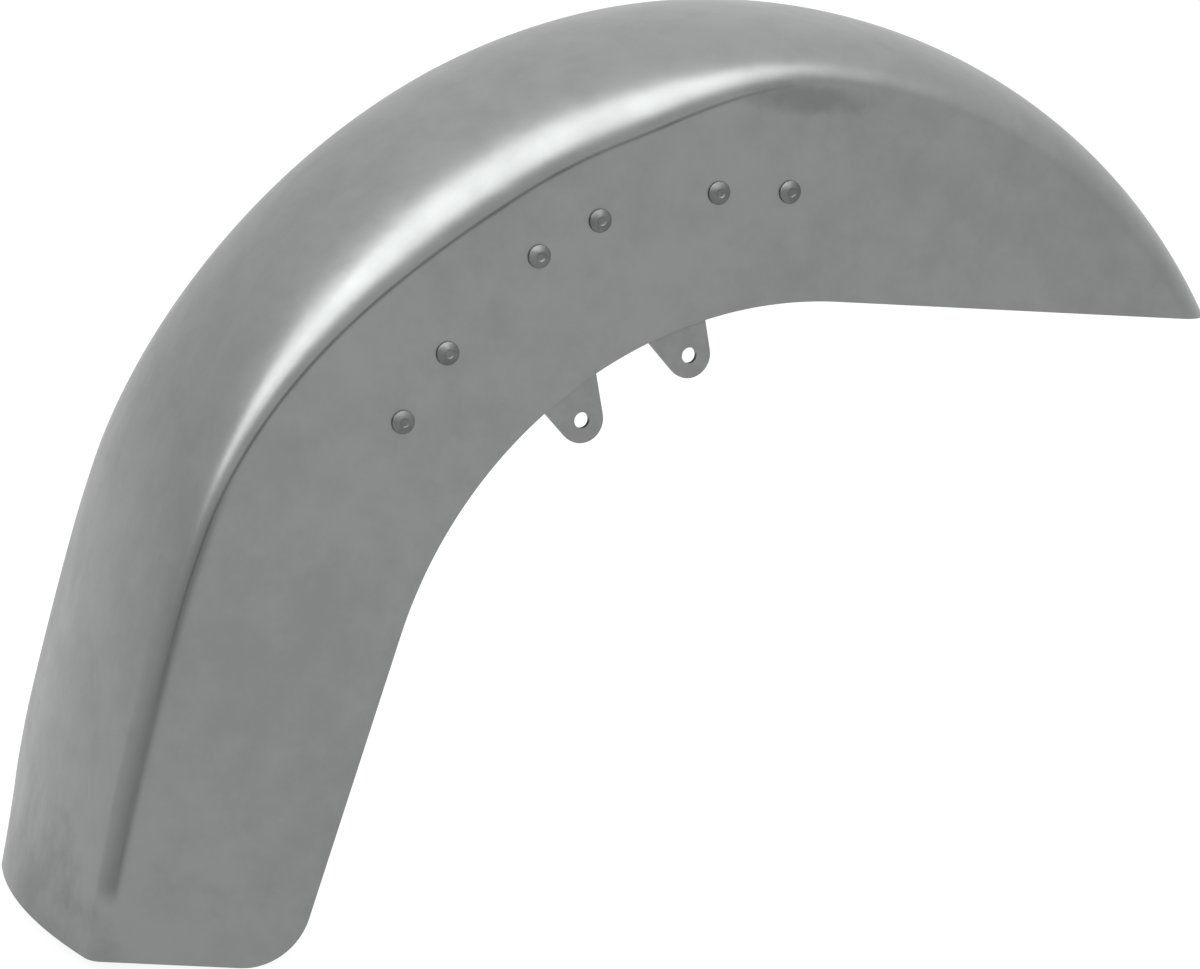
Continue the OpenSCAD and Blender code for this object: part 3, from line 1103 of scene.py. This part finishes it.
@dataclass
class Studio:
    """A pale floor, a soft surround, soft lights and the camera.

    Attributes:
        surround_low: Brightness of the surround at the horizon.
        surround_high: Its brightness overhead.
        floor_tone: The floor's own tone, sRGB hex.
        floor_glow: How brightly it is lit from below.
        floor_reach: Half its width, m.
        floor_gap: How far it lies under the object, m.
        softboxes: The lights.
        camera_place: The camera's place in the frame, m.
        camera_right: The direction of its right.
        camera_up: The direction of its top.
        lens: Its focal length, mm.
        sensor: Its sensor's width, mm.
        shift: Its shift, in sensor widths.
    """

    surround_low: float = 0.95
    surround_high: float = 1.45
    floor_tone: str = "636363"
    floor_glow: float = 0.90
    floor_reach: float = 40.0
    floor_gap: float = 0.0005
    softboxes: tuple[Softbox, ...] = field(
        default_factory=lambda: (
            Softbox("key_softbox", -103.0, 44.5, 2.2, (2.6, 1.8), 3.3),
            Softbox("tail_softbox", -157.0, 31.0, 2.2, (1.1, 1.1), 3.1),
        )
    )
    camera_place: tuple[float, float, float] = (-0.887772, -1.80011, 0.302808)
    camera_right: tuple[float, float, float] = (0.89021, -0.43982, 0.11867)
    camera_up: tuple[float, float, float] = (-0.00321, 0.25443, 0.96709)
    lens: float = 109.34
    sensor: float = 36.0
    shift: tuple[float, float] = (-0.0768, 0.1127)

    def build(self, low: Vector, high: Vector) -> None:
        """Builds the whole studio round the object's box.

        Args:
            low: Lowest corner of the object's box.
            high: Highest corner.
        """
        self._surround()
        self._floor(low.z)
        middle = (low + high) / 2
        for softbox in self.softboxes:
            softbox.build(middle)
        self._camera()
        bpy.context.scene.view_settings.view_transform = "Standard"

    def _surround(self) -> None:
        """A soft grey-white surround, brighter overhead."""
        world = bpy.data.worlds.new("soft_surround")
        bpy.context.scene.world = world
        world.use_nodes = True
        tree = world.node_tree
        tree.nodes.clear()
        direction = add_node(tree, "ShaderNodeTexCoord").outputs["Generated"]
        split = add_node(tree, "ShaderNodeSeparateXYZ", links={"Vector": direction})
        strength = add_node(
            tree,
            "ShaderNodeMapRange",
            {"interpolation_type": "SMOOTHSTEP"},
            {"To Min": self.surround_low, "To Max": self.surround_high},
            {"Value": split.outputs["Z"]},
        )
        glow = add_node(
            tree,
            "ShaderNodeBackground",
            values={"Color": (1.0, 1.0, 1.0, 1.0)},
            links={"Strength": strength.outputs[0]},
        )
        add_node(tree, "ShaderNodeOutputWorld", links={"Surface": glow.outputs[0]})

    def _floor(self, height: float) -> None:
        """A wide pale floor just under the object, lit from below as a light table is.

        Args:
            height: Z of the floor.
        """
        reach = self.floor_reach
        corners = np.array([[-reach, -reach], [reach, -reach], [reach, reach], [-reach, reach]])
        points = np.column_stack([corners, np.full(4, height - self.floor_gap)])
        floor = new_object("studio_floor", points, [[0, 1, 2, 3]])
        # matt backdrop paper: an even white with no edge, which barely takes a shadow
        made = bpy.data.materials.new("pale_paper")
        made.use_nodes = True
        tree = made.node_tree
        tree.nodes.clear()
        paper = add_node(
            tree,
            "ShaderNodeBsdfDiffuse",
            values={"Color": linear(self.floor_tone), "Roughness": 0.5},
        )
        glow = add_node(
            tree,
            "ShaderNodeEmission",
            values={"Color": (1.0, 1.0, 1.0, 1.0), "Strength": self.floor_glow},
        )
        both = add_node(
            tree, "ShaderNodeAddShader", links={0: paper.outputs[0], 1: glow.outputs[0]}
        )
        add_node(tree, "ShaderNodeOutputMaterial", links={"Surface": both.outputs[0]})
        floor.data.materials.append(made)
        floor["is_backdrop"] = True

    def _camera(self) -> None:
        """The photograph's camera, solved from the fender's outline."""
        right = Vector(self.camera_right).normalized()
        up = Vector(self.camera_up)
        up = (up - right * up.dot(right)).normalized()
        back = right.cross(up)
        lens = bpy.data.cameras.new("photo_camera")
        lens.lens = self.lens
        lens.sensor_width = self.sensor
        lens.sensor_fit = "HORIZONTAL"
        lens.shift_x, lens.shift_y = self.shift
        lens.clip_start, lens.clip_end = 0.05, 200.0
        holder = bpy.data.objects.new("photo_camera", lens)
        turn = Matrix((right, up, back)).transposed().to_4x4()
        holder.matrix_world = Matrix.Translation(Vector(self.camera_place)) @ turn
        bpy.context.scene.collection.objects.link(holder)
        bpy.context.scene.camera = holder


# -------------------------------------------------------------------- the part

# cold-rolled sheet, pressed and ground: a broad satin highlight with a ragged rim,
# cloudy grey flats, painted shade in the valley along the crease and under the bulge's
# front end, and a darker place low on the tail
SKIN_STEEL = BareSteel(
    name="bare_cold_rolled_steel_pressed",
    light="828483",
    dark="7B7D7C",
    roughness=0.345,
    roughness_swing=0.04,
    cloud=90.0,
    mottle=13.0,
    ripple=10.0,
    ripple_height=0.17,
    grain=1.1,
    grain_height=0.012,
    dark_patches=(
        # darker low on the tail's back face
        DarkPatch(centre=(-312.0, 30.0, -335.0), radii=(60.0, 130.0, 76.0), depth=0.32),
        # painted shade under the front end of the bulge, on each skirt just below the crease
        DarkPatch(centre=(48.0, -84.0, 141.0), radii=(46.0, 14.0, 9.0), depth=0.22),
        DarkPatch(centre=(48.0, 84.0, 141.0), radii=(46.0, 14.0, 9.0), depth=0.22),
    ),
    # painted shade in the valley along the crease
    valley_painted_shade=0.36,
)
# plate as it comes from the laser: flat grey, duller than the pressed sheet
BRACKET_STEEL = BareSteel(
    name="bare_mild_steel_plate_laser_cut",
    light="7E807F",
    dark="767877",
    roughness=0.46,
    roughness_swing=0.04,
    cloud=40.0,
    mottle=6.0,
    ripple=20.0,
    ripple_height=0.05,
    grain=0.9,
    grain_height=0.012,
)
# cold-headed rivets, darker than the sheet, with small blurred glints on the dome
RIVET_STEEL = BareSteel(
    name="bare_steel_rivet_cold_headed",
    light="6A6C6B",
    dark="5C5E5D",
    roughness=0.42,
    roughness_swing=0.06,
    cloud=12.0,
    mottle=2.5,
    ripple=3.0,
    ripple_height=0.06,
    grain=0.7,
    grain_height=0.012,
)


@dataclass
class Fender:
    """The whole fender: skin, two brackets and twelve rivets."""

    frame: dict[str, object]
    crown: Crown = field(default_factory=Crown)
    rivet: Rivet = field(default_factory=Rivet)

    def build(self) -> list[bpy.types.Object]:
        """Builds and dresses every piece.

        Returns:
            The new pieces and the carried-over nodes.
        """
        edge = SkirtEdge(self.crown)
        bracket = Bracket(edge)
        place = Place(bracket.front_hole())
        skin = Skin(self.crown, edge).build(place)
        pieces = [self._dress(skin, SKIN_STEEL.material(), "fender_skin", "skin_steel")]
        plate = BRACKET_STEEL.material()
        for side in Side:
            node = self.frame["nodes"][f"bracket_{side.name.lower()}"]
            for holder in node.material_slots:
                holder.material = plate
            pieces.append(node)
        set_steel = RIVET_STEEL.material()
        spots = bracket.rivet_spots()
        for side in Side:
            for number, spot in enumerate(spots, start=1):
                name = f"rivet_{side.name.lower()}_{number}"
                made = self.rivet.build(
                    f"set_{name}", spot, side, self.crown.skirt_half_width, place
                )
                pieces.append(self._dress(made, set_steel, name, "rivet_steel"))
        return pieces

    @staticmethod
    def _dress(
        piece: bpy.types.Object, material: bpy.types.Material, node: str, slot: str
    ) -> bpy.types.Object:
        """Gives a piece its finish and puts it in the place of its CAD node.

        Args:
            piece: The piece.
            material: Its finish.
            node: The node it replaces.
            slot: The record's material slot; not used.

        Returns:
            The same piece.
        """
        piece.data.materials.append(material)
        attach(piece, "root")
        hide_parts(node)
        return piece


def main() -> None:
    """Loads the frame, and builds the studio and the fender."""
    logging.basicConfig(level=logging.INFO, format="%(name)s: %(message)s")
    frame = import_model()
    cad_low, cad_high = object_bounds()
    Studio().build(Vector(cad_low), Vector(cad_high))
    for piece in Fender(frame).build():
        LOG.info("%s: %d faces", piece.name, len(piece.data.polygons))


if __name__ == "__main__":
    main()
